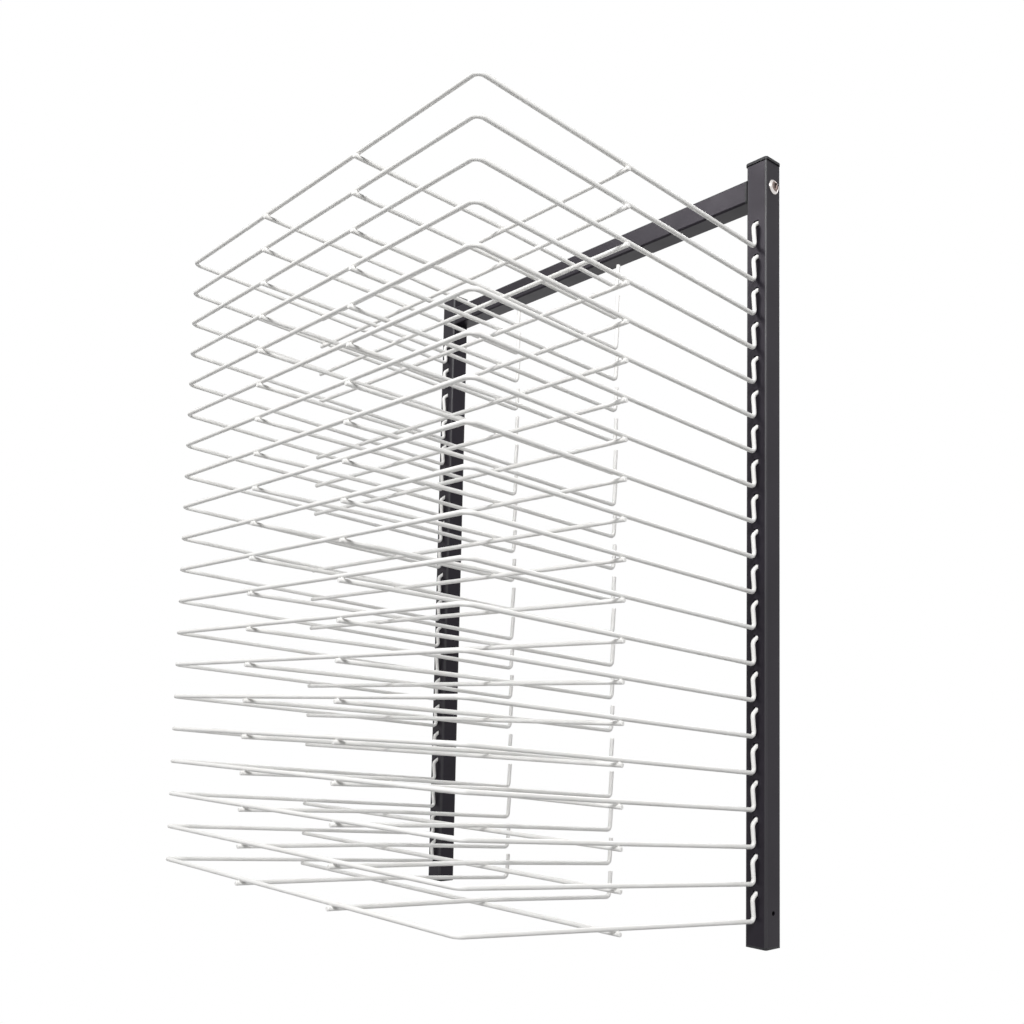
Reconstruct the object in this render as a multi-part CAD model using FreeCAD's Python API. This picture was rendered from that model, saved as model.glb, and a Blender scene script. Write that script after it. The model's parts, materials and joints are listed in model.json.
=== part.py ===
"""Wall rack for drying artwork: two slotted square tubes, a crossbar and twenty wire shelves.

Each shelf hangs by two hooks in the tubes' slots and swings up at the front. Sizes are in millimetres.
X runs to the right, Y towards the wall and Z up. The origin lies on the wall, midway between the four
keyholes that the rack hangs by.
"""

import FreeCAD
import Part

import math
import os

from FreeCAD import Rotation, Vector

# Shelves
SHELF_COUNT = 20
SHELF_PITCH = 32.0
SHELF_WIDTH = 460.0  # between the centre-lines of the side wires, and so of the tubes
SHELF_REACH = 335.0  # from the tubes' front face to the front wire, along the slope
SHELF_TILT = 4.5  # degrees that the shelf rises towards the front
FRONT_BEND_RADIUS = 6.5  # every bend radius is measured to the wire's centre-line

# Wire, round in the real shelf and drawn with flats at its radius, so that twenty shelves stay light
WIRE_DIAMETER = 4.0
WIRE_FLATS = 8
FRONT_BEND_TURNS = 3  # mitred turns that stand for each bend
HEEL_BEND_TURNS = 2
STOP_BEND_TURNS = 2

# Hooks at the rear ends of the side wires, measured from the middle of the slot
HOOK_DROP = 22.7  # down to the side wire
HEEL_BEND_RADIUS = 4.0
HEEL_GAP = 0.3  # between the heel and the tube's front face, with the shelf down
LEG_LEAN = 7.0  # degrees that the leg leans away from the tube
THROAT_ANGLE = 35.0  # degrees that the wire climbs through the slot
TIP_DEPTH = 3.2  # from the middle of the tube's wall to the tip
TIP_HEIGHT = 10.5
SLOT_CLEARANCE = 0.35  # above and below the wire in the slot
SLOT_SIDE_CLEARANCE = 0.5

# Ribs and the cross wire, both measured from the tubes' front face along the slope
RIB_SPACING = 150.0
RIB_OVERHANG = 4.0  # past the centre-line of the front wire
STOP_REACH = 21.0
STOP_HEIGHT = 24.6
STOP_BEND_RADIUS = 4.0
CROSS_WIRE_REACH = 177.5
CROSS_WIRE_OVERHANG = 4.0  # past the centre-line of each side wire

# Square tubes of the uprights and the crossbar
TUBE_SIZE = 22.0
TUBE_WALL = 1.2
TUBE_CORNER_RADIUS = 2.0
LOWEST_SLOT_HEIGHT = 44.5  # above the lower end of the tube
TOP_SLOT_DEPTH = 58.5  # below the upper end of the tube
CROSSBAR_DEPTH = 23.5  # from the upper end of the tube to the middle of the crossbar
SIDE_HOLE_HEIGHT = 28.5  # above the lower end of the tube
SIDE_HOLE_DIAMETER = 4.2

# Keyholes in the back walls, for screws that stay in the wall
KEYHOLE_INSET = 62.0  # from the tube's end to the round entry
KEYHOLE_ENTRY_DIAMETER = 10.0
KEYHOLE_NECK_WIDTH = 5.0
KEYHOLE_RISE = 8.0

# Plastic caps and plugs, with finned stems inside the tubes
CAP_THICKNESS = 3.0
CAP_OVERHANG = 1.0
CAP_EDGE_BEVEL = 0.9
FLANGE_THICKNESS = 2.0
STEM_LENGTH = 14.0
STEM_SETBACK = 1.3  # from the tube's inner wall to the stem
FIN_COUNT = 3
FIN_THICKNESS = 0.9
FIN_CLEARANCE = 0.25  # lets the fins' square corners clear the bore's rounded ones

# Screws and square nuts of the crossbar
SCREW_DIAMETER = 5.9
SCREW_HOLE_DIAMETER = 6.4
SCREW_HEAD_DIAMETER = 13.5
SCREW_HEAD_HEIGHT = 3.6
SCREW_HEAD_RIM = 0.5
RECESS_LENGTH = 6.6
RECESS_WIDTH = 1.3
RECESS_DEPTH = 2.2
NUT_WIDTH = 10.0
NUT_THICKNESS = 5.0
NUT_CLEARANCE = 0.15
NUT_COVER = 8.0  # from the end of the crossbar to the nut
THREAD_CLEARANCE = 0.05

X = Vector(1, 0, 0)
Z = Vector(0, 0, 1)

OVERCUT = 1.0  # by which a cutting shape stands past the surface that it cuts

wire_radius = WIRE_DIAMETER / 2
tube_length = LOWEST_SLOT_HEIGHT + (SHELF_COUNT - 1) * SHELF_PITCH + TOP_SLOT_DEPTH
tube_top = tube_length / 2
tube_bottom = -tube_length / 2
crossbar_height = tube_top - CROSSBAR_DEPTH
tube_middle = -TUBE_SIZE / 2
slot_height = (
    WIRE_DIAMETER / math.cos(math.radians(THROAT_ANGLE))
    + TUBE_WALL * math.tan(math.radians(THROAT_ANGLE))
    + 2 * SLOT_CLEARANCE
)
slot_width = WIRE_DIAMETER + 2 * SLOT_SIDE_CLEARANCE
bore_width = TUBE_SIZE - 2 * TUBE_WALL


def slot_level(number):
    """Height of the middle of a slot, counted from 1 at the bottom."""
    return tube_bottom + LOWEST_SLOT_HEIGHT + (number - 1) * SHELF_PITCH


# Solids that several pieces share


def rounded_block(low, high, radius):
    """Block between two corners, with its four upright edges rounded."""
    block = Part.makeBox(high.x - low.x, high.y - low.y, high.z - low.z, low)
    upright_edges = [edge for edge in block.Edges if edge.BoundBox.ZLength > block.BoundBox.ZLength / 2]
    return block.makeFillet(radius, upright_edges)


def square_bar(width, radius, start, length):
    """Bar of rounded square section that runs along Z, centred on the line through its start."""
    half = width / 2
    low = Vector(start.x - half, start.y - half, start.z)
    high = Vector(start.x + half, start.y + half, start.z + length)
    return rounded_block(low, high, radius)


def square_tube(start, length):
    """Tube of the rack's one section, running up from its start."""
    outside = square_bar(TUBE_SIZE, TUBE_CORNER_RADIUS, start, length)
    inside = square_bar(bore_width, TUBE_CORNER_RADIUS - TUBE_WALL, start, length)
    return outside.cut(inside)


def finned_stem(start):
    """Stem of a tube plug, running up from its start, with fins that fill the tube's bore."""
    stem_width = bore_width - 2 * STEM_SETBACK
    fin_half = bore_width / 2 - FIN_CLEARANCE
    fin_step = STEM_LENGTH / (FIN_COUNT + 1)
    corner = start - Vector(stem_width / 2, stem_width / 2, 0)
    stem = Part.makeBox(stem_width, stem_width, STEM_LENGTH, corner)
    fins = []
    for number in range(1, FIN_COUNT + 1):
        low = start + Vector(-fin_half, -fin_half, number * fin_step - FIN_THICKNESS / 2)
        fins.append(Part.makeBox(2 * fin_half, 2 * fin_half, FIN_THICKNESS, low))
    return stem.fuse(fins)


# Uprights


def keyhole(centre):
    """Cutter for a keyhole in a back wall: a round entry with a neck that rises from it."""
    neck_radius = KEYHOLE_NECK_WIDTH / 2
    depth = TUBE_WALL + 2 * OVERCUT
    start = centre - Vector(0, TUBE_WALL + OVERCUT, 0)
    towards_wall = Vector(0, 1, 0)
    entry = Part.makeCylinder(KEYHOLE_ENTRY_DIAMETER / 2, depth, start, towards_wall)
    seat = Part.makeCylinder(neck_radius, depth, start + Z * KEYHOLE_RISE, towards_wall)
    neck = Part.makeBox(KEYHOLE_NECK_WIDTH, depth, KEYHOLE_RISE, start - X * neck_radius)
    return entry.fuse([neck, seat])


def upright(side):
    """Slotted tube on one side, -1 for left and 1 for right."""
    middle = side * SHELF_WIDTH / 2
    tube = square_tube(Vector(middle, tube_middle, tube_bottom), tube_length)
    cutters = []
    for number in range(1, SHELF_COUNT + 1):
        corner = Vector(
            middle - slot_width / 2, -TUBE_SIZE - OVERCUT, slot_level(number) - slot_height / 2
        )
        cutters.append(Part.makeBox(slot_width, TUBE_WALL + 2 * OVERCUT, slot_height, corner))
    for height in (tube_bottom + KEYHOLE_INSET, tube_top - KEYHOLE_INSET):
        cutters.append(keyhole(Vector(middle, 0, height)))
    screw_start = Vector(middle - TUBE_SIZE / 2 - OVERCUT, tube_middle, crossbar_height)
    cutters.append(
        Part.makeCylinder(SCREW_HOLE_DIAMETER / 2, TUBE_SIZE + 2 * OVERCUT, screw_start, X)
    )
    outer_face = Vector(
        middle + side * (TUBE_SIZE / 2 - TUBE_WALL - OVERCUT),
        tube_middle,
        tube_bottom + SIDE_HOLE_HEIGHT,
    )
    cutters.append(
        Part.makeCylinder(SIDE_HOLE_DIAMETER / 2, TUBE_WALL + 2 * OVERCUT, outer_face, X * side)
    )
    return tube.cut(cutters)


# Caps and plugs of the uprights


def top_cap(side):
    """Cap that stands proud of the tube at the front and sides, and is flush at the wall."""
    middle = side * SHELF_WIDTH / 2
    reach = TUBE_SIZE / 2 + CAP_OVERHANG
    low = Vector(middle - reach, -TUBE_SIZE - CAP_OVERHANG, tube_top)
    high = Vector(middle + reach, 0, tube_top + CAP_THICKNESS)
    flange = rounded_block(low, high, TUBE_CORNER_RADIUS + CAP_OVERHANG)
    rim = [edge for edge in flange.Edges if edge.BoundBox.ZMin > high.z - CAP_EDGE_BEVEL / 2]
    stem = finned_stem(Vector(middle, tube_middle, tube_top - STEM_LENGTH))
    return flange.makeChamfer(CAP_EDGE_BEVEL, rim).fuse(stem).removeSplitter()


def bottom_plug(side):
    """Plug whose flange is flush with the tube."""
    start = Vector(side * SHELF_WIDTH / 2, tube_middle, tube_bottom)
    flange = square_bar(TUBE_SIZE, TUBE_CORNER_RADIUS, start - Z * FLANGE_THICKNESS, FLANGE_THICKNESS)
    return flange.fuse(finned_stem(start)).removeSplitter()


# Crossbar with its plugs, nuts and screws. Each is made along Z from the inner face of the right
# upright, with the bar below it, and then laid on its side at its own end of the bar.


def laid_down(shape, side):
    """A crossbar piece made along Z, turned so that Z points at the upright on one side."""
    placed = shape.copy()
    placed.rotate(Vector(0, 0, 0), Vector(0, 1, 0), side * 90)
    inner_face = SHELF_WIDTH / 2 - TUBE_SIZE / 2
    placed.translate(Vector(side * inner_face, tube_middle, crossbar_height))
    return placed


def crossbar():
    """Tube between the flanges of its two plugs."""
    length = SHELF_WIDTH - TUBE_SIZE - 2 * FLANGE_THICKNESS
    bar = square_tube(Vector(0, 0, -FLANGE_THICKNESS - length), length)
    return laid_down(bar, 1)


def crossbar_plug(side):
    """Plug in one end of the crossbar, with a bore for the screw and a pocket that holds the nut."""
    flange = square_bar(
        TUBE_SIZE, TUBE_CORNER_RADIUS, Vector(0, 0, -FLANGE_THICKNESS), FLANGE_THICKNESS
    )
    stem = finned_stem(Vector(0, 0, -FLANGE_THICKNESS - STEM_LENGTH))
    bore_start = Vector(0, 0, -FLANGE_THICKNESS - STEM_LENGTH - OVERCUT)
    bore = Part.makeCylinder(
        SCREW_HOLE_DIAMETER / 2, FLANGE_THICKNESS + STEM_LENGTH + 2 * OVERCUT, bore_start
    )
    pocket_width = NUT_WIDTH + 2 * NUT_CLEARANCE
    pocket_depth = STEM_LENGTH - NUT_COVER
    pocket = Part.makeBox(
        pocket_width,
        pocket_width,
        pocket_depth + OVERCUT,
        bore_start - Vector(pocket_width / 2, pocket_width / 2, 0),
    )
    plug = flange.fuse(stem).removeSplitter().cut([bore, pocket])
    return laid_down(plug, side)


def crossbar_nut(side):
    """Square nut, seated on the floor of its plug's pocket."""
    floor = -FLANGE_THICKNESS - NUT_COVER
    corner = Vector(-NUT_WIDTH / 2, -NUT_WIDTH / 2, floor - NUT_THICKNESS)
    block = Part.makeBox(NUT_WIDTH, NUT_WIDTH, NUT_THICKNESS, corner)
    thread = Part.makeCylinder(
        SCREW_DIAMETER / 2 + THREAD_CLEARANCE, NUT_THICKNESS, Vector(0, 0, floor - NUT_THICKNESS)
    )
    return laid_down(block.cut(thread), side)


def crossbar_screw(side):
    """Screw with a domed head and a cross recess, seated on the outer face of the upright."""
    shank_end = -FLANGE_THICKNESS - NUT_COVER - NUT_THICKNESS
    shank = Part.makeCylinder(SCREW_DIAMETER / 2, TUBE_SIZE - shank_end, Vector(0, 0, shank_end))
    radius = SCREW_HEAD_DIAMETER / 2
    rim = TUBE_SIZE + SCREW_HEAD_RIM
    crown = TUBE_SIZE + SCREW_HEAD_HEIGHT
    dome_rise = crown - rim
    dome_radius = (radius**2 + dome_rise**2) / (2 * dome_rise)
    half_angle = math.asin(radius / dome_radius) / 2
    dome_middle = Vector(
        dome_radius * math.sin(half_angle), 0, crown - dome_radius * (1 - math.cos(half_angle))
    )
    outline = Part.Wire(
        [
            Part.makeLine(Vector(0, 0, TUBE_SIZE), Vector(radius, 0, TUBE_SIZE)),
            Part.makeLine(Vector(radius, 0, TUBE_SIZE), Vector(radius, 0, rim)),
            Part.Arc(Vector(radius, 0, rim), dome_middle, Vector(0, 0, crown)).toShape(),
            Part.makeLine(Vector(0, 0, crown), Vector(0, 0, TUBE_SIZE)),
        ]
    )
    head = Part.Face(outline).revolve(Vector(0, 0, 0), Z, 360)
    half_length = RECESS_LENGTH / 2
    half_width = RECESS_WIDTH / 2
    floor = crown - RECESS_DEPTH
    arm = Part.makeBox(
        RECESS_LENGTH, RECESS_WIDTH, RECESS_DEPTH + OVERCUT, Vector(-half_length, -half_width, floor)
    )
    cross_arm = Part.makeBox(
        RECESS_WIDTH, RECESS_LENGTH, RECESS_DEPTH + OVERCUT, Vector(-half_width, -half_length, floor)
    )
    return laid_down(shank.fuse(head).removeSplitter().cut([arm, cross_arm]), side)


# Wires of a shelf. A shelf is drawn about the middle of its slots, which is the hinge that it turns on.


def upward(degrees):
    """Direction in the plane of a side wire that points at the wall and climbs by an angle."""
    angle = math.radians(degrees)
    return Vector(0, math.cos(angle), math.sin(angle))


def crossing(point, along, other_point, other_along):
    """Point where two lines in the plane of a side wire meet."""
    normal = X.cross(other_along)
    return point + along * ((other_point - point).dot(normal) / along.dot(normal))


def bend(before, corner, after, radius, turns):
    """Points of a bend, drawn as equal mitred turns around the arc that touches both runs."""
    back = (before - corner).normalize()
    ahead = (after - corner).normalize()
    angle = math.pi - back.getAngle(ahead)
    centre = corner + (back + ahead).normalize() * (radius / math.cos(angle / 2))
    spoke = (corner - centre).normalize() * (radius / math.cos(angle / turns / 2))
    step = math.degrees(angle / turns)
    points = []
    for number in range(turns):
        turned = Rotation(ahead.cross(back), step * (number - (turns - 1) / 2))
        points.append(centre + turned.multVec(spoke))
    return points


def wire(points, facing):
    """Wire through the points of its route, with one flat of its section turned to a direction."""
    along = points[1] - points[0]
    half_flat_angle = math.pi / WIRE_FLATS
    corner = facing.normalize() * (wire_radius / math.cos(half_flat_angle))
    section = []
    for number in range(WIRE_FLATS + 1):
        turned = Rotation(along, math.degrees(half_flat_angle) * (2 * number + 1))
        section.append(points[0] + turned.multVec(corner))
    route = Part.makePolygon(points)
    mitred = 1  # transition that carries the section round a corner with a mitre
    return route.makePipeShell([Part.makePolygon(section)], True, False, mitred)


forward = upward(180 - SHELF_TILT)
above = upward(90 - SHELF_TILT)
heel_half_turn = (90 + LEG_LEAN + SHELF_TILT) / HEEL_BEND_TURNS / 2
heel_back = (
    (HEEL_BEND_RADIUS + wire_radius)
    * math.cos(math.radians(LEG_LEAN - heel_half_turn))
    / math.cos(math.radians(heel_half_turn))
)
face_offset = Vector(0, -TUBE_WALL / 2, 0)
heel_centre = face_offset + Vector(0, -HEEL_GAP - heel_back, HEEL_BEND_RADIUS - HOOK_DROP)
side_wire_rear = crossing(heel_centre - above * HEEL_BEND_RADIUS, forward, face_offset, Z)


def on_shelf(x, reach, height=0.0):
    """Point of a shelf by its reach from the tubes' front face and its height over the side wires."""
    return side_wire_rear + X * x + forward * reach + above * height


def hook(side):
    """Route of one hook, from its tip inside the tube down to its heel."""
    leg = upward(90 + LEG_LEAN)
    throat = upward(THROAT_ANGLE)
    leg_foot = heel_centre + upward(LEG_LEAN) * HEEL_BEND_RADIUS
    heel = crossing(leg_foot, leg, side_wire_rear, forward)
    knee = crossing(leg_foot, leg, Vector(0, 0, 0), throat)
    inner = throat * (TIP_DEPTH / throat.y)
    tip = Vector(0, TIP_DEPTH, TIP_HEIGHT)
    rounded = bend(knee, heel, on_shelf(0, SHELF_REACH), HEEL_BEND_RADIUS, HEEL_BEND_TURNS)
    return [point + X * (side * SHELF_WIDTH / 2) for point in [tip, inner, knee, *rounded]]


def shelf_rim():
    """One bent wire: hook, side wire, front wire, side wire and hook."""
    left_corner = on_shelf(-SHELF_WIDTH / 2, SHELF_REACH)
    right_corner = on_shelf(SHELF_WIDTH / 2, SHELF_REACH)
    left_hook = hook(-1)
    right_hook = hook(1)
    right_hook.reverse()
    left_bend = bend(left_hook[-1], left_corner, right_corner, FRONT_BEND_RADIUS, FRONT_BEND_TURNS)
    right_bend = bend(left_corner, right_corner, right_hook[0], FRONT_BEND_RADIUS, FRONT_BEND_TURNS)
    return wire([*left_hook, *left_bend, *right_bend, *right_hook], X)


def shelf_grid():
    """Cross wire under the side wires, and two ribs over it whose rear ends turn up as paper stops."""
    half_width = SHELF_WIDTH / 2 + CROSS_WIRE_OVERHANG
    under = -WIRE_DIAMETER
    cross_wire = wire(
        [on_shelf(-half_width, CROSS_WIRE_REACH, under), on_shelf(half_width, CROSS_WIRE_REACH, under)],
        above,
    )
    solids = [cross_wire]
    for x in (-RIB_SPACING / 2, RIB_SPACING / 2):
        front = on_shelf(x, SHELF_REACH, under)
        crown = on_shelf(x, CROSS_WIRE_REACH)
        foot = on_shelf(x, STOP_REACH)
        top = on_shelf(x, STOP_REACH, STOP_HEIGHT)
        overhang = (front - crown).normalize() * RIB_OVERHANG
        rounded = bend(crown, foot, top, STOP_BEND_RADIUS, STOP_BEND_TURNS)
        solids.append(wire([front + overhang, crown, *rounded, top], X))
    return Part.makeCompound(solids)


# Every piece, by its name


def pieces():
    """Each node's name with its shape."""
    named = {"crossbar": crossbar()}
    for side, label in ((-1, "left"), (1, "right")):
        named["upright_" + label] = upright(side)
        named["top_cap_" + label] = top_cap(side)
        named["bottom_plug_" + label] = bottom_plug(side)
        named["crossbar_plug_" + label] = crossbar_plug(side)
    named["crossbar_nuts"] = Part.makeCompound([crossbar_nut(-1), crossbar_nut(1)])
    named["crossbar_screws"] = Part.makeCompound([crossbar_screw(-1), crossbar_screw(1)])
    rim = shelf_rim()
    grid = shelf_grid()
    for number in range(1, SHELF_COUNT + 1):
        hinge = Vector(0, TUBE_WALL / 2 - TUBE_SIZE, slot_level(number))
        for label, shape in (("rim", rim), ("grid", grid)):
            named[f"shelf_{number:02d}_{label}"] = shape.translated(hinge)
    return named


os.makedirs("parts", exist_ok=True)
for name, shape in pieces().items():
    shape.exportStep(f"parts/{name}.step")
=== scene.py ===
import json
import math

import bpy
from mathutils import Matrix, Vector

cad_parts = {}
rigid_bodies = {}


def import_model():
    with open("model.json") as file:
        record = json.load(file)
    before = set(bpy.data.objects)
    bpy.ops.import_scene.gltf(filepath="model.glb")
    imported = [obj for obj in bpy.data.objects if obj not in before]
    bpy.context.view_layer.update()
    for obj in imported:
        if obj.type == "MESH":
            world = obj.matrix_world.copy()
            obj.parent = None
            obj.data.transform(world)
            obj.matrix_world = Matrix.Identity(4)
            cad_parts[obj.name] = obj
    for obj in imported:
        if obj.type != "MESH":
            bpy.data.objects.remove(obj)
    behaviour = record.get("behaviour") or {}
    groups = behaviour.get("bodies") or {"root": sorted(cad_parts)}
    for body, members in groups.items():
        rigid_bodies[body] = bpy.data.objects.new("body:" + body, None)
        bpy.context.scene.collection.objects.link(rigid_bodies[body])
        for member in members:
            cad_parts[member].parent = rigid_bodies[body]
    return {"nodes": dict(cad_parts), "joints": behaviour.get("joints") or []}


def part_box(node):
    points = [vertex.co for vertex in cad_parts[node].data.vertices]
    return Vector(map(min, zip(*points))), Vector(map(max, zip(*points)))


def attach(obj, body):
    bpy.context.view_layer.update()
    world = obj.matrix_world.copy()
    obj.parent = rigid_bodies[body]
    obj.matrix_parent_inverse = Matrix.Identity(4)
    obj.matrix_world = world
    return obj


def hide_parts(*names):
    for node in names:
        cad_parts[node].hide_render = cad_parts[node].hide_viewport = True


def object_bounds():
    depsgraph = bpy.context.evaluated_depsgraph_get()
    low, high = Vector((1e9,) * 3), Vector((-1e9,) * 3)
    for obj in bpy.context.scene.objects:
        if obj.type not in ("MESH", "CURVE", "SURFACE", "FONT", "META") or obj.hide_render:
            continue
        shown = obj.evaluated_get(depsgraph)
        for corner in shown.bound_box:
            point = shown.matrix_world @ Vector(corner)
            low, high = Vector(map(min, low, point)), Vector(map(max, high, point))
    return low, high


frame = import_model()
cad_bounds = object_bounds()


# The uprights are square steel tubes. A press cuts a slot for every shelf, two keyholes for the
# wall screws and the crossbar's screw holes. The powder coat is nearly black with some violet,
# half glossy with a fine ripple, and glossier where it is drawn thin over the corners.
TUBE_SIZE = 0.022
TUBE_WALL = 0.0012
TUBE_CORNER = 0.002
TUBE_CORNER_STEPS = 6
PRESS_DEPTH = 4 * TUBE_WALL
SLOT_WIDTH = 0.005
SLOT_HEIGHT = 0.00642
SLOT_CORNER = 0.0006
SLOT_CORNER_STEPS = 3
KEYHOLE_INSET = 0.062
KEYHOLE_ENTRY_RADIUS = 0.005
KEYHOLE_NECK_RADIUS = 0.0025
KEYHOLE_NECK_ROUNDING = 0.99 * KEYHOLE_NECK_RADIUS
KEYHOLE_NECK_STEPS = 8
KEYHOLE_RISE = 0.008
SCREW_HOLE_RADIUS = 0.0032
SIDE_HOLE_RADIUS = 0.0021
SIDE_HOLE_HEIGHT = 0.0285
HOLE_SIDES = 32
EDGE_ANGLE = math.radians(35.0)
LOOKS_ALONG = 0.9
MERGE_DISTANCE = 0.000001
FRAME_COLOURS = ((0.009, 0.008, 0.011), (0.015, 0.013, 0.018))
FRAME_SHEEN_TINT = (0.97, 0.88, 1.0, 1.0)
FRAME_GLOSS = 0.22
FRAME_ROUGHNESS = (0.30, 0.40)
CORNER_GLOSS = 0.48
CORNER_ROUGHNESS = (0.38, 0.46)
CORNER_SLANT = 0.1
POWDER_RIPPLE_SCALE = 900.0
POWDER_RIPPLE_HEIGHT = 0.00002
COLOUR_DETAIL = 4.0
COLOUR_SPREAD = (0.35, 0.65)
ROUGHNESS_DETAIL = 3.0
ROUGHNESS_SPREAD = (0.3, 0.7)
RIPPLE_DETAIL = 2.0
RIPPLE_STRENGTH = 0.6


def new_finish(name, metallic=0.0, gloss=0.5):
    """A material and its shader, ready for colour and surface."""
    finish = bpy.data.materials.new(name)
    finish.use_nodes = True
    shader = finish.node_tree.nodes["Principled BSDF"]
    shader.inputs["Metallic"].default_value = metallic
    shader.inputs["Specular IOR Level"].default_value = gloss
    return finish, shader


def clouds(tree, scale, detail):
    """Value round a half that drifts over the piece, for a finish's nodes to read."""
    place = tree.nodes.new("ShaderNodeTexCoord")
    noise = tree.nodes.new("ShaderNodeTexNoise")
    noise.inputs["Scale"].default_value = scale
    noise.inputs["Detail"].default_value = detail
    tree.links.new(place.outputs["Object"], noise.inputs["Vector"])
    return noise.outputs["Fac"]


def cloudy_colour(shader, colours, scale):
    """Colour that drifts between two near shades over the piece."""
    tree = shader.id_data
    shades = tree.nodes.new("ShaderNodeValToRGB")
    for stop, position, colour in zip(shades.color_ramp.elements, COLOUR_SPREAD, colours):
        stop.position = position
        stop.color = (*colour, 1.0)
    tree.links.new(clouds(tree, scale, COLOUR_DETAIL), shades.inputs["Fac"])
    tree.links.new(shades.outputs["Color"], shader.inputs["Base Color"])


def uneven_gloss(shader, roughness, scale):
    """Roughness that varies a little over the piece, as on baked or handled surfaces."""
    tree = shader.id_data
    patches = tree.nodes.new("ShaderNodeMapRange")
    ends = ("From Min", "From Max", "To Min", "To Max")
    for end, value in zip(ends, (*ROUGHNESS_SPREAD, *roughness)):
        patches.inputs[end].default_value = value
    tree.links.new(clouds(tree, scale, ROUGHNESS_DETAIL), patches.inputs["Value"])
    tree.links.new(patches.outputs["Result"], shader.inputs["Roughness"])


def fine_ripple(shader, scale, height):
    """Small bumps of a baked coat or a moulded skin."""
    tree = shader.id_data
    relief = tree.nodes.new("ShaderNodeBump")
    relief.inputs["Strength"].default_value = RIPPLE_STRENGTH
    relief.inputs["Distance"].default_value = height
    tree.links.new(clouds(tree, scale, RIPPLE_DETAIL), relief.inputs["Height"])
    tree.links.new(relief.outputs["Normal"], shader.inputs["Normal"])


def coat(piece, *finishes):
    """Gives a piece its finishes, of which the first covers it."""
    piece.data.materials.clear()
    for finish in finishes:
        piece.data.materials.append(finish)


frame_paint, frame_shader = new_finish("frame_black_powder", gloss=FRAME_GLOSS)
frame_shader.inputs["Specular Tint"].default_value = FRAME_SHEEN_TINT
uneven_gloss(frame_shader, FRAME_ROUGHNESS, scale=25.0)
corner_paint, corner_shader = new_finish("frame_corner_powder", gloss=CORNER_GLOSS)
uneven_gloss(corner_shader, CORNER_ROUGHNESS, scale=25.0)
for shader in (frame_shader, corner_shader):
    cloudy_colour(shader, FRAME_COLOURS, scale=14.0)
    fine_ripple(shader, POWDER_RIPPLE_SCALE, POWDER_RIPPLE_HEIGHT)


def start_piece(name):
    """Names the new primitive, puts its place in its mesh and opens it for shaping."""
    piece = bpy.context.object
    piece.name = name
    piece.data.name = name
    bpy.ops.object.transform_apply(location=True, rotation=True, scale=True)
    bpy.ops.object.mode_set(mode="EDIT")
    return piece


def new_box(name, centre, size):
    """Box of some size about a centre, open for shaping."""
    bpy.ops.object.select_all(action="DESELECT")
    bpy.ops.mesh.primitive_cube_add(size=1.0, location=centre, scale=size)
    return start_piece(name)


def select_faces(test):
    """Selects the faces of the open mesh whose middle and direction pass a test."""
    bpy.ops.mesh.select_mode(type="FACE")
    bpy.ops.mesh.select_all(action="DESELECT")
    bpy.ops.object.mode_set(mode="OBJECT")
    for face in bpy.context.object.data.polygons:
        face.select = test(face.center, face.normal)
    bpy.ops.object.mode_set(mode="EDIT")


def select_edges(test):
    """Selects the edges of the open mesh whose two ends together pass a test."""
    bpy.ops.mesh.select_mode(type="EDGE")
    bpy.ops.mesh.select_all(action="DESELECT")
    bpy.ops.object.mode_set(mode="OBJECT")
    mesh = bpy.context.object.data
    for edge in mesh.edges:
        edge.select = test(*(mesh.vertices[index].co for index in edge.vertices))
    bpy.ops.object.mode_set(mode="EDIT")


def round_edges(width, steps):
    """Rounds the selected edges, or those of the selected faces."""
    bpy.ops.mesh.bevel(offset=width, segments=steps, affect="EDGES")


def draw_out(step):
    """Extrudes the selected faces by a step."""
    bpy.ops.mesh.extrude_region_move(TRANSFORM_OT_translate={"value": step})


def close_piece(edge_angle=EDGE_ANGLE):
    """Merges doubles, turns the faces outwards, and leaves the piece smooth but for its edges."""
    bpy.ops.mesh.select_mode(type="VERT")
    bpy.ops.mesh.select_all(action="SELECT")
    bpy.ops.mesh.remove_doubles(threshold=MERGE_DISTANCE)
    bpy.ops.mesh.normals_make_consistent(inside=False)
    bpy.ops.object.mode_set(mode="OBJECT")
    bpy.ops.object.shade_smooth_by_angle(angle=edge_angle)


def take(piece):
    """Selects one piece alone and makes it the active one."""
    bpy.ops.object.select_all(action="DESELECT")
    piece.select_set(True)
    bpy.context.view_layer.objects.active = piece


def cut_out(piece, cutter):
    """Takes the cutter's shape out of a piece, and then the cutter out of the scene."""
    take(piece)
    bpy.ops.object.modifier_add(type="BOOLEAN")
    piece.modifiers["Boolean"].operation = "DIFFERENCE"
    piece.modifiers["Boolean"].object = cutter
    bpy.ops.object.modifier_apply(modifier="Boolean")
    bpy.ops.object.select_all(action="DESELECT")
    cutter.select_set(True)
    bpy.ops.object.delete()


def facing(direction):
    """Turn that points a new primitive's axis in a direction."""
    return direction.to_track_quat("Z", "Y").to_euler()


def drill(piece, centre, along, radius, depth):
    """Drills a round hole of some depth about a point."""
    bpy.ops.object.select_all(action="DESELECT")
    bpy.ops.mesh.primitive_cylinder_add(
        vertices=HOLE_SIDES, radius=radius, depth=depth, location=centre, rotation=facing(along)
    )
    cut_out(piece, bpy.context.object)


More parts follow.
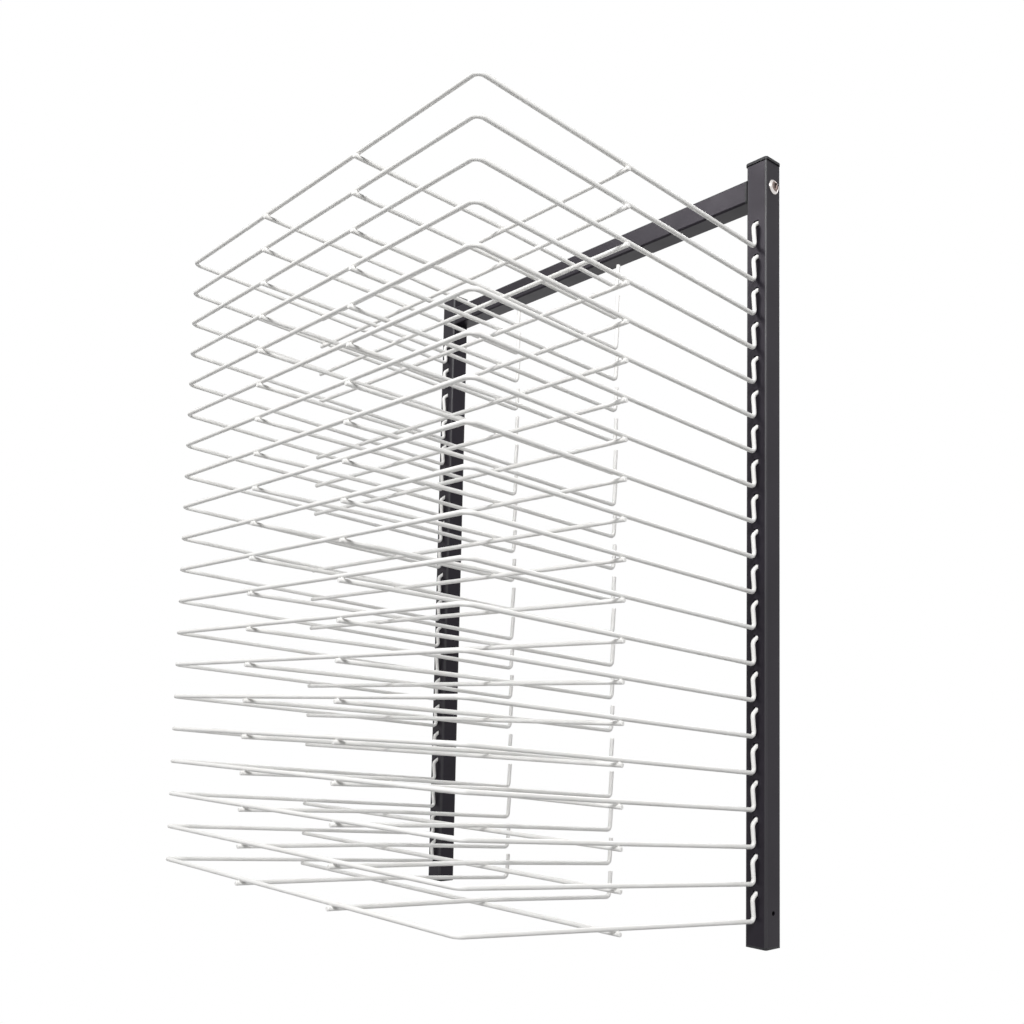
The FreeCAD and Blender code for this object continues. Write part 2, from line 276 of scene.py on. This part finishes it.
def square_tube(name, low, high):
    """Open tube that fills a box, with its long corners rounded and its wall inside them."""
    size = high - low
    tube = new_box(name, (low + high) / 2, size)
    select_edges(lambda start, end: (end - start).length > 2 * TUBE_SIZE)
    round_edges(TUBE_CORNER, TUBE_CORNER_STEPS)
    lengthwise = Vector([float(extent > 2 * TUBE_SIZE) for extent in size])
    select_faces(lambda middle, normal: abs(normal.dot(lengthwise)) > LOOKS_ALONG)
    bpy.ops.mesh.delete(type="ONLY_FACE")
    bpy.ops.object.mode_set(mode="OBJECT")
    bpy.ops.object.modifier_add(type="SOLIDIFY")
    tube.modifiers["Solidify"].thickness = TUBE_WALL
    tube.modifiers["Solidify"].use_even_offset = True
    bpy.ops.object.modifier_apply(modifier="Solidify")
    return tube


def finish_tube(tube, node):
    """Keeps the flats flat to the light, coats the tube and lets it stand for its node."""
    take(tube)
    bpy.ops.object.mode_set(mode="EDIT")
    close_piece()
    bpy.ops.object.modifier_add(type="WEIGHTED_NORMAL")
    tube.modifiers["WeightedNormal"].keep_sharp = True
    bpy.ops.object.modifier_apply(modifier="WeightedNormal")
    coat(tube, frame_paint)
    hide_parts(node)
    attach(tube, "frame")


heights = [joint["pos_m"][2] for joint in frame["joints"]]
bar_low, bar_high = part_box("crossbar")
bar_height = (bar_low.z + bar_high.z) / 2
tube_middle = -TUBE_SIZE / 2
neck_top = KEYHOLE_RISE + KEYHOLE_NECK_RADIUS
to_wall = Vector((0.0, 1.0, 0.0))
to_right = Vector((1.0, 0.0, 0.0))
for side, label in ((-1, "left"), (1, "right")):
    low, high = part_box("upright_" + label)
    tube_x = (low.x + high.x) / 2
    tube = square_tube("tube_" + label, low, high)

    lowest_slot = (tube_x, -TUBE_SIZE, heights[0])
    press = new_box("slot_press", lowest_slot, (SLOT_WIDTH, PRESS_DEPTH, SLOT_HEIGHT))
    select_edges(lambda start, end: abs(start.y - end.y) > TUBE_WALL)
    round_edges(SLOT_CORNER, SLOT_CORNER_STEPS)
    bpy.ops.mesh.select_all(action="SELECT")
    for height, next_height in zip(heights, heights[1:]):
        pitch = (0.0, 0.0, next_height - height)
        bpy.ops.mesh.duplicate_move(TRANSFORM_OT_translate={"value": pitch})
    close_piece()
    cut_out(tube, press)

    for height in (low.z + KEYHOLE_INSET, high.z - KEYHOLE_INSET):
        entry = Vector((tube_x, 0.0, height))
        drill(tube, entry, to_wall, KEYHOLE_ENTRY_RADIUS, PRESS_DEPTH)
        neck_centre = (tube_x, 0.0, height + neck_top / 2)
        neck = new_box("neck_press", neck_centre, (2 * KEYHOLE_NECK_RADIUS, PRESS_DEPTH, neck_top))
        select_edges(
            lambda start, end: min(start.z, end.z) > height and abs(start.y - end.y) > TUBE_WALL
        )
        round_edges(KEYHOLE_NECK_ROUNDING, KEYHOLE_NECK_STEPS)
        close_piece()
        cut_out(tube, neck)

    screw_hole = Vector((tube_x, tube_middle, bar_height))
    drill(tube, screw_hole, to_right, SCREW_HOLE_RADIUS, 2 * TUBE_SIZE)
    outer_face = high.x if side > 0 else low.x
    side_hole = Vector((outer_face, tube_middle, low.z + SIDE_HOLE_HEIGHT))
    drill(tube, side_hole, to_right, SIDE_HOLE_RADIUS, PRESS_DEPTH)

    finish_tube(tube, "upright_" + label)
    tube.data.materials.append(corner_paint)
    for face in tube.data.polygons:
        if min(abs(face.normal.x), abs(face.normal.y)) > CORNER_SLANT:
            face.material_index = len(tube.data.materials) - 1


# The crossbar is cut from the same tube and coated with the uprights. It lies between them,
# behind the shelves, with a plug in each end.
finish_tube(square_tube("bar", bar_low, bar_high), "crossbar")


# The plugs at the tubes' lower ends and in the crossbar are moulded in black plastic, a little
# duller than the tubes. They are pushed in and hold by their fins.
PLASTIC_COLOURS = ((0.014, 0.014, 0.016), (0.022, 0.022, 0.024))
PLASTIC_GLOSS = 0.3
PLASTIC_ROUGHNESS = (0.42, 0.55)

black_plastic, plastic_shader = new_finish("plug_black_plastic", gloss=PLASTIC_GLOSS)
cloudy_colour(plastic_shader, PLASTIC_COLOURS, scale=40.0)
uneven_gloss(plastic_shader, PLASTIC_ROUGHNESS, scale=60.0)
fine_ripple(plastic_shader, scale=1400.0, height=0.00001)
for name in ("bottom_plug_left", "bottom_plug_right", "crossbar_plug_left", "crossbar_plug_right"):
    coat(frame["nodes"][name], black_plastic)


# Each upright is closed by a cap of the same black plastic. Its flange stands a millimetre past
# the tube and is rounded over the edge. Its stem goes down into the tube and grips by three fins.
CAP_THICKNESS = 0.003
CAP_CORNER = 0.003
CAP_CORNER_STEPS = 8
CAP_EDGE = 0.0011
CAP_EDGE_STEPS = 4
STEM_SIZE = 0.017
FIN_SIZE = 0.0191
FIN_THICKNESS = 0.0009
FIN_STEP = 0.0035
FIN_COUNT = 3


def flare(growth, centre):
    """Extrudes the selected faces sideways, so that their outline grows about a centre."""
    bpy.ops.mesh.extrude_region_move()
    bpy.ops.transform.resize(value=growth, center_override=centre)


end_gap = FIN_STEP - FIN_THICKNESS / 2
fin_gap = FIN_STEP - FIN_THICKNESS
for label in ("left", "right"):
    low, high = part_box("top_cap_" + label)
    cap_x = (low.x + high.x) / 2
    tube_end = Vector((cap_x, tube_middle, high.z - CAP_THICKNESS))
    bpy.ops.object.select_all(action="DESELECT")
    bpy.ops.mesh.primitive_plane_add(size=STEM_SIZE, location=tube_end)
    stem = start_piece("cap_stem_" + label)
    bpy.ops.mesh.select_all(action="SELECT")
    for number in range(FIN_COUNT):
        draw_out((0.0, 0.0, -end_gap if number == 0 else -fin_gap))
        flare((FIN_SIZE / STEM_SIZE, FIN_SIZE / STEM_SIZE, 1.0), tube_end)
        draw_out((0.0, 0.0, -FIN_THICKNESS))
        flare((STEM_SIZE / FIN_SIZE, STEM_SIZE / FIN_SIZE, 1.0), tube_end)
    draw_out((0.0, 0.0, -end_gap))
    close_piece()

    cap_centre = (cap_x, (low.y + high.y) / 2, high.z - CAP_THICKNESS / 2)
    cap = new_box("cap_" + label, cap_centre, (high.x - low.x, high.y - low.y, CAP_THICKNESS))
    select_edges(lambda start, end: abs(start.z - end.z) > CAP_THICKNESS / 2)
    round_edges(CAP_CORNER, CAP_CORNER_STEPS)
    select_edges(lambda start, end: min(start.z, end.z) > high.z - CAP_THICKNESS / 2)
    round_edges(CAP_EDGE, CAP_EDGE_STEPS)
    close_piece()

    stem.select_set(True)
    bpy.ops.object.join()
    coat(cap, black_plastic)
    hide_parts("top_cap_" + label)
    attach(cap, "frame")


# A screw with a wide domed head and a cross recess goes through each upright into the crossbar's
# plug, where it draws up a square nut. Screws and nuts are steel with a bright zinc plate. A
# painted reflection darkens the middle of each head brown, and painted shade darkens the recesses.
HEAD_RADIUS = 0.00675
HEAD_RIM = 0.0005
HEAD_HEIGHT = 0.0036
HEAD_SIDES = 40
HEAD_RINGS = 6
HEAD_EDGE_ANGLE = math.radians(30.0)
SHANK_RADIUS = 0.00295
SHANK_LENGTH = 0.037
RECESS_LENGTH = 0.0080
RECESS_WIDTH = 0.0019
RECESS_DEPTH = 0.0022
RECESS_TAPER = 0.45
DOME_SLOPE = 0.5
# The brown middle of each head is a painted reflection, and this is its radius.
PAINTED_REFLECTION_RADIUS = 0.0052
ZINC_COLOURS = ((0.66, 0.62, 0.60), (0.80, 0.77, 0.75))
ZINC_ROUGHNESS = (0.14, 0.28)
PAINTED_REFLECTION_COLOURS = ((0.17, 0.13, 0.12), (0.30, 0.24, 0.22))
PAINTED_REFLECTION_ROUGHNESS = (0.20, 0.34)
# The dark colour of the cross recess is painted shade.
RECESS_PAINTED_SHADE_COLOURS = ((0.060, 0.044, 0.040), (0.11, 0.085, 0.078))
RECESS_ROUGHNESS = (0.38, 0.55)

zinc_plate, zinc_shader = new_finish("bright_zinc", metallic=1.0)
cloudy_colour(zinc_shader, ZINC_COLOURS, scale=250.0)
uneven_gloss(zinc_shader, ZINC_ROUGHNESS, scale=400.0)

# Painted reflection: the middle of each head is coloured dark brown.
dome_painted_reflection, dome_shader = new_finish("dome_painted_reflection", metallic=1.0)
cloudy_colour(dome_shader, PAINTED_REFLECTION_COLOURS, scale=350.0)
uneven_gloss(dome_shader, PAINTED_REFLECTION_ROUGHNESS, scale=400.0)

# Painted shade: the faces of the cross recess are coloured dark.
recess_painted_shade, recess_shader = new_finish("recess_painted_shade", metallic=1.0)
cloudy_colour(recess_shader, RECESS_PAINTED_SHADE_COLOURS, scale=600.0)
uneven_gloss(recess_shader, RECESS_ROUGHNESS, scale=500.0)

for shader in (zinc_shader, dome_shader, recess_shader):
    fine_ripple(shader, scale=2500.0, height=0.000008)
coat(frame["nodes"]["crossbar_nuts"], zinc_plate)


def new_disc(name, sides, radius, centre, rotation):
    """Filled disc, open for shaping and selected, so that it can be drawn out."""
    bpy.ops.object.select_all(action="DESELECT")
    bpy.ops.mesh.primitive_circle_add(
        vertices=sides, radius=radius, fill_type="NGON", location=centre, rotation=rotation
    )
    disc = start_piece(name)
    bpy.ops.mesh.select_all(action="SELECT")
    return disc


dome_rise = HEAD_HEIGHT - HEAD_RIM
dome_radius = (HEAD_RADIUS**2 + dome_rise**2) / (2 * dome_rise)
dome_angle = math.asin(HEAD_RADIUS / dome_radius)
head_growth = HEAD_RADIUS / SHANK_RADIUS
screw_finishes = [zinc_plate, recess_painted_shade, dome_painted_reflection]
for side, label in ((-1, "left"), (1, "right")):
    low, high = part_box("upright_" + label)
    seat = Vector((high.x if side > 0 else low.x, tube_middle, bar_height))
    shank_end = seat - Vector((side * SHANK_LENGTH, 0.0, 0.0))
    outwards = (0.0, math.radians(side * 90.0), 0.0)
    screw = new_disc("screw_" + label, HEAD_SIDES, SHANK_RADIUS, shank_end, outwards)
    draw_out((side * SHANK_LENGTH, 0.0, 0.0))
    flare((1.0, head_growth, head_growth), seat)
    draw_out((side * HEAD_RIM, 0.0, 0.0))
    for ring in range(HEAD_RINGS, 1, -1):
        angle, next_angle = (dome_angle * number / HEAD_RINGS for number in (ring, ring - 1))
        draw_out((side * dome_radius * (math.cos(next_angle) - math.cos(angle)), 0.0, 0.0))
        shrink = math.sin(next_angle) / math.sin(angle)
        bpy.ops.transform.resize(value=(1.0, shrink, shrink), center_override=seat)
    close_piece(HEAD_EDGE_ANGLE)

    crown = seat + Vector((side * HEAD_HEIGHT, 0.0, 0.0))
    recess_cutter = new_box("recess_cutter", crown, (2 * RECESS_DEPTH, RECESS_WIDTH, RECESS_WIDTH))
    arm = (RECESS_LENGTH - RECESS_WIDTH) / 2
    for direction in ((0, 1, 0), (0, -1, 0), (0, 0, 1), (0, 0, -1)):
        towards = Vector(direction)
        select_faces(
            lambda middle, normal: normal.dot(towards) > LOOKS_ALONG
            and (middle - crown).length < arm
        )
        draw_out(towards * arm)
    select_faces(lambda middle, normal: normal.x * side < -LOOKS_ALONG)
    bpy.ops.transform.resize(value=(1.0, RECESS_TAPER, RECESS_TAPER), center_override=crown)
    close_piece()

    cut_out(screw, recess_cutter)
    coat(screw, *screw_finishes)
    # The middle of each head takes the painted reflection, and its recess takes the painted shade.
    for face in screw.data.polygons:
        out_of_seat = (face.center - seat).x * side
        from_axis = ((face.center - seat) * Vector((0.0, 1.0, 1.0))).length
        if out_of_seat > 0.0 and from_axis < PAINTED_REFLECTION_RADIUS:
            in_recess = from_axis < RECESS_LENGTH / 2 and (
                face.normal.x * side < DOME_SLOPE or out_of_seat < HEAD_HEIGHT - RECESS_DEPTH / 2
            )
            finish = recess_painted_shade if in_recess else dome_painted_reflection
            face.material_index = screw_finishes.index(finish)
    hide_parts("crossbar_screws")
    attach(screw, "frame")


# Each shelf is welded from mild steel wire and powder coated white as one piece. Its rim is a
# single wire: it is bent into a hook, a side, the front, the other side and the other hook.
WIRE_RADIUS = 0.002
WIRE_SIDES = 16
WIRE_END_ROUNDING = 0.0006
WIRE_END_STEPS = 3
BEND_STEP = math.radians(12.0)
SHELF_TILT = math.radians(4.5)
SHELF_REACH = 0.335
HOOK_DROP = 0.0227
HEEL_GAP = 0.0003
HEEL_RADIUS = 0.004
HEEL_TURNS = 2
KNEE_RADIUS = 0.0045
TIP_BEND_RADIUS = 0.003
FRONT_RADIUS = 0.0065
LEG_LEAN = math.radians(7.0)
THROAT_ANGLE = math.radians(35.0)
TIP_DEPTH = 0.0032
TIP_HEIGHT = 0.0105
WIRE_COLOURS = ((0.83, 0.82, 0.80), (0.88, 0.875, 0.86))
WIRE_GLOSS = 0.25
WIRE_ROUGHNESS = (0.30, 0.42)
WIRE_RIPPLE_HEIGHT = POWDER_RIPPLE_HEIGHT / 10

white_paint, white_shader = new_finish("shelf_white_powder", gloss=WIRE_GLOSS)
cloudy_colour(white_shader, WIRE_COLOURS, scale=30.0)
uneven_gloss(white_shader, WIRE_ROUGHNESS, scale=45.0)
fine_ripple(white_shader, POWDER_RIPPLE_SCALE, WIRE_RIPPLE_HEIGHT)


def upward(angle):
    """Direction in the plane of a side wire that points at the wall and climbs by an angle."""
    return Vector((0.0, math.cos(angle), math.sin(angle)))


def crossing(point, along, other_point, other_along):
    """Point where two lines in the plane of a side wire meet."""
    across = to_right.cross(other_along)
    return point + along * ((other_point - point).dot(across) / along.dot(across))


def bent_wire(name, corners, radii):
    """Wire led from the first corner to the last and bent round those between them."""
    wire = new_disc(name, WIRE_SIDES, WIRE_RADIUS, corners[0], facing(corners[1] - corners[0]))
    end = corners[0]
    for before, corner, after, radius in zip(corners, corners[1:], corners[2:], radii):
        into = (corner - before).normalized()
        onward = (after - corner).normalized()
        turn = into.angle(onward)
        shortening = radius * math.tan(turn / 2)
        draw_out(corner - into * shortening - end)
        bpy.ops.mesh.spin(
            steps=max(1, round(turn / BEND_STEP)),
            angle=-turn,
            center=corner + (onward - into).normalized() * (radius / math.cos(turn / 2)),
            axis=into.cross(onward).normalized(),
        )
        end = corner + onward * shortening
    draw_out(corners[-1] - end)
    close_piece()
    bpy.ops.object.mode_set(mode="EDIT")
    bpy.ops.mesh.select_mode(type="FACE")
    bpy.ops.mesh.select_all(action="DESELECT")
    bpy.ops.mesh.select_face_by_sides(number=WIRE_SIDES)
    round_edges(WIRE_END_ROUNDING, WIRE_END_STEPS)
    close_piece()
    return wire


hinge = Vector(frame["joints"][0]["pos_m"])
right_low, right_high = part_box("upright_right")
side_x = (right_low.x + right_high.x) / 2
tube_face = hinge + Vector((0.0, -TUBE_WALL / 2, 0.0))
straight_up = Vector((0.0, 0.0, 1.0))
forward = upward(math.pi - SHELF_TILT)
above = upward(math.pi / 2 - SHELF_TILT)
leg = upward(math.pi / 2 + LEG_LEAN)
throat = upward(THROAT_ANGLE)
heel_half_turn = (math.pi / 2 + LEG_LEAN + SHELF_TILT) / (2 * HEEL_TURNS)
heel_spread = math.cos(LEG_LEAN - heel_half_turn) / math.cos(heel_half_turn)
heel_back = (HEEL_RADIUS + WIRE_RADIUS) * heel_spread
heel_centre = tube_face + Vector((0.0, -HEEL_GAP - heel_back, HEEL_RADIUS - HOOK_DROP))
heel_foot = heel_centre - above * HEEL_RADIUS
side_wire_rear = crossing(heel_foot, forward, tube_face, straight_up)


def on_shelf(x, reach, height=0.0):
    """Point of the lowest shelf by its reach from the tubes and its height over the side wires."""
    return side_wire_rear + to_right * x + forward * reach + above * height


leg_foot = heel_centre + upward(LEG_LEAN) * HEEL_RADIUS
hook = [
    hinge + Vector((0.0, TIP_DEPTH, TIP_HEIGHT)),
    hinge + throat * (TIP_DEPTH / throat.y),
    crossing(leg_foot, leg, hinge, throat),
    crossing(leg_foot, leg, side_wire_rear, forward),
]
hook_bends = [TIP_BEND_RADIUS, KNEE_RADIUS, HEEL_RADIUS]
left_hook = [point - to_right * side_x for point in hook]
right_hook = [point + to_right * side_x for point in reversed(hook)]
rim = bent_wire(
    "rim_01",
    [*left_hook, on_shelf(-side_x, SHELF_REACH), on_shelf(side_x, SHELF_REACH), *right_hook],
    [*hook_bends, FRONT_RADIUS, FRONT_RADIUS, *reversed(hook_bends)],
)
coat(rim, white_paint)


# A cross wire lies under the side wires, and two ribs lie on it and end under the front wire. The
# ribs' rear ends turn up as paper stops. Each crossing is spot welded, and paint fills its corners.
RIB_PLACES = (-0.075, 0.075)
RIB_OVERHANG = 0.004
STOP_REACH = 0.021
STOP_HEIGHT = 0.0246
STOP_RADIUS = 0.004
CROWN_RADIUS = 0.060
CROSS_WIRE_REACH = 0.1775
CROSS_WIRE_OVERHANG = 0.004
WELD_SIDES = 12
WELD_RADIUS = 0.0019
WELD_LAYER = 0.0005
WELD_WIDTHS = (1.0, 0.90, 0.85, 0.90, 1.0)
WELD_EDGE_ANGLE = math.radians(60.0)

half_cross_wire = side_x + CROSS_WIRE_OVERHANG
under = -2 * WIRE_RADIUS
cross_wire_ends = [
    on_shelf(x, CROSS_WIRE_REACH, under) for x in (-half_cross_wire, half_cross_wire)
]
grid = bent_wire("grid_01", cross_wire_ends, [])
grid_parts = []
for place in RIB_PLACES:
    front = on_shelf(place, SHELF_REACH, under)
    crown = on_shelf(place, CROSS_WIRE_REACH)
    foot = on_shelf(place, STOP_REACH)
    top = on_shelf(place, STOP_REACH, STOP_HEIGHT)
    front_end = front + (front - crown).normalized() * RIB_OVERHANG
    rib = bent_wire("rib", [front_end, crown, foot, top], [CROWN_RADIUS, STOP_RADIUS])
    grid_parts.append(rib)

welds = [
    *(on_shelf(place, SHELF_REACH, -WIRE_RADIUS) for place in RIB_PLACES),
    *(on_shelf(place, CROSS_WIRE_REACH, -WIRE_RADIUS) for place in (*RIB_PLACES, -side_x, side_x)),
]
weld_height = WELD_LAYER * (len(WELD_WIDTHS) - 1)
for weld in welds:
    level = weld + above * weld_height / 2
    bead = new_disc("weld", WELD_SIDES, WELD_RADIUS, level, facing(above))
    for width, next_width in zip(WELD_WIDTHS, WELD_WIDTHS[1:]):
        level = level - above * WELD_LAYER
        draw_out(-above * WELD_LAYER)
        bpy.ops.transform.resize(value=(next_width / width,) * 3, center_override=level)
    close_piece(WELD_EDGE_ANGLE)
    grid_parts.append(bead)

bpy.ops.object.select_all(action="DESELECT")
for part in (*grid_parts, grid):
    part.select_set(True)
bpy.context.view_layer.objects.active = grid
bpy.ops.object.join()
coat(grid, white_paint)


# Twenty shelves are alike. Each hangs by its hooks in its own pair of slots, one pitch above the
# next, and swings up at the front about them.
for number, height in enumerate(heights[1:], start=2):
    for first, label in ((rim, "rim"), (grid, "grid")):
        take(first)
        bpy.ops.object.duplicate(linked=False)
        piece = bpy.context.object
        piece.name = f"{label}_{number:02d}"
        piece.data.name = piece.name
        bpy.ops.transform.translate(value=(0.0, 0.0, height - heights[0]))
        bpy.ops.object.transform_apply(location=True, rotation=True, scale=True)
for number in range(1, len(heights) + 1):
    for label in ("rim", "grid"):
        piece = bpy.data.objects[f"{label}_{number:02d}"]
        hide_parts(f"shelf_{number:02d}_{label}")
        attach(piece, f"shelf_{number:02d}")


# The rack hangs on a wall that is left out, over a plain pale floor. Near the rack the floor takes
# its soft shadow, and further away it fades into the white of the room.
FLOOR_DROP = 0.95
FLOOR_SIZE = 40.0
FLOOR_COLOUR = (0.66, 0.66, 0.66, 1.0)
SHADOW_REACH = 0.6
FADE_REACH = 1.6
NEAR_WHITE_SHARE = 0.5


def seen_directly(tree):
    """One for what is seen, also in gloss and through glass, and nought for light on the rack."""
    ray = tree.nodes.new("ShaderNodeLightPath")
    seen = tree.nodes.new("ShaderNodeMath")
    seen.operation = "ADD"
    seen_or_passed = tree.nodes.new("ShaderNodeMath")
    seen_or_passed.operation = "ADD"
    seen_or_passed.use_clamp = True
    tree.links.new(ray.outputs["Is Camera Ray"], seen.inputs[0])
    tree.links.new(ray.outputs["Is Glossy Ray"], seen.inputs[1])
    tree.links.new(seen.outputs["Value"], seen_or_passed.inputs[0])
    tree.links.new(ray.outputs["Is Transmission Ray"], seen_or_passed.inputs[1])
    return seen_or_passed.outputs["Value"]


bpy.ops.object.select_all(action="DESELECT")
floor_height = cad_bounds[0].z - FLOOR_DROP
bpy.ops.mesh.primitive_plane_add(size=FLOOR_SIZE, location=(0.0, 0.0, floor_height))
floor = bpy.context.object
floor.name = "floor"
floor_finish = bpy.data.materials.new("floor_white")
floor_finish.use_nodes = True
nodes = floor_finish.node_tree.nodes
links = floor_finish.node_tree.links
nodes.clear()
place = nodes.new("ShaderNodeTexCoord")
distance = nodes.new("ShaderNodeVectorMath")
distance.operation = "LENGTH"
fade = nodes.new("ShaderNodeMapRange")
fade.inputs["From Min"].default_value = SHADOW_REACH
fade.inputs["From Max"].default_value = SHADOW_REACH + FADE_REACH
fade.inputs["To Min"].default_value = NEAR_WHITE_SHARE
white_share = nodes.new("ShaderNodeMath")
white_share.operation = "MULTIPLY"
shaded = nodes.new("ShaderNodeBsdfDiffuse")
shaded.inputs["Color"].default_value = FLOOR_COLOUR
white = nodes.new("ShaderNodeEmission")
mixed = nodes.new("ShaderNodeMixShader")
surface = nodes.new("ShaderNodeOutputMaterial")
links.new(place.outputs["Object"], distance.inputs[0])
links.new(distance.outputs["Value"], fade.inputs["Value"])
links.new(fade.outputs["Result"], white_share.inputs[0])
links.new(seen_directly(floor_finish.node_tree), white_share.inputs[1])
links.new(white_share.outputs["Value"], mixed.inputs["Fac"])
links.new(shaded.outputs["BSDF"], mixed.inputs[1])
links.new(white.outputs["Emission"], mixed.inputs[2])
links.new(mixed.outputs["Shader"], surface.inputs["Surface"])
floor.data.materials.append(floor_finish)


# The room is white to the eye and in reflections, and lights the rack more softly than that, so
# that the undersides of the wires stay grey.
ROOM_COLOUR = (1.0, 1.0, 1.0, 1.0)
ROOM_LIGHT = 0.17

room = bpy.data.worlds.new("white_room")
bpy.context.scene.world = room
room.use_nodes = True
nodes = room.node_tree.nodes
links = room.node_tree.links
nodes.clear()
strength = nodes.new("ShaderNodeMapRange")
strength.inputs["To Min"].default_value = ROOM_LIGHT
backdrop = nodes.new("ShaderNodeBackground")
backdrop.inputs["Color"].default_value = ROOM_COLOUR
surface = nodes.new("ShaderNodeOutputWorld")
links.new(seen_directly(room.node_tree), strength.inputs["Value"])
links.new(strength.outputs["Result"], backdrop.inputs["Strength"])
links.new(backdrop.outputs["Background"], surface.inputs["Surface"])


# Three soft boxes light the rack: a strong one at the front right, over eye level, a weaker one
# higher up at the front left, and one behind it, so that the backs of the wires are white too.
RACK_MIDDLE = Vector((0.0, -0.15, 0.0))
SOFT_BOXES = (
    ("key_light", (1.50, -1.60, 1.30), 0.8, 58.0),
    ("fill_light", (-0.95, -1.65, 1.55), 0.8, 17.0),
    ("back_light", (-0.50, 1.80, 1.50), 1.2, 24.0),
)

for name, box_place, width, power in SOFT_BOXES:
    bpy.ops.object.light_add(type="AREA", location=box_place)
    lamp = bpy.context.object
    lamp.name = name
    lamp.data.shape = "SQUARE"
    lamp.data.size = width
    lamp.data.energy = power
    lamp.rotation_euler = (RACK_MIDDLE - lamp.location).to_track_quat("-Z", "Y").to_euler()
bpy.context.scene.view_settings.view_transform = "Standard"


# The viewer stands in front of the right upright, level with the lower shelves, and looks a little
# up across the rack. The lens is a normal one, shifted so that the whole rack stays in view.
SENSOR_WIDTH = 36.0
LENS_LENGTH = 37.573
LENS_SHIFT = 0.1076
NEAREST_SEEN = 0.01
VIEWER_PLACE = Vector((0.7977, -0.8146, -0.1601))
VIEWER_TURN = math.radians(48.511)
VIEWER_TILT = math.radians(5.0)
VIEWER_ROLL = math.radians(1.22)

bpy.ops.object.camera_add()
camera = bpy.context.object
camera.name = "viewer"
camera.data.sensor_width = SENSOR_WIDTH
camera.data.lens = LENS_LENGTH
camera.data.shift_y = LENS_SHIFT
camera.data.clip_start = NEAREST_SEEN
gaze = Vector(
    (
        -math.sin(VIEWER_TURN) * math.cos(VIEWER_TILT),
        math.cos(VIEWER_TURN) * math.cos(VIEWER_TILT),
        math.sin(VIEWER_TILT),
    )
)
level = Vector((math.cos(VIEWER_TURN), math.sin(VIEWER_TURN), 0.0))
right = level * math.cos(VIEWER_ROLL) + level.cross(gaze) * math.sin(VIEWER_ROLL)
up = right.cross(gaze)
axes = Matrix((right, up, -gaze)).transposed().to_4x4()
camera.matrix_world = Matrix.Translation(VIEWER_PLACE) @ axes
bpy.context.scene.camera = camera
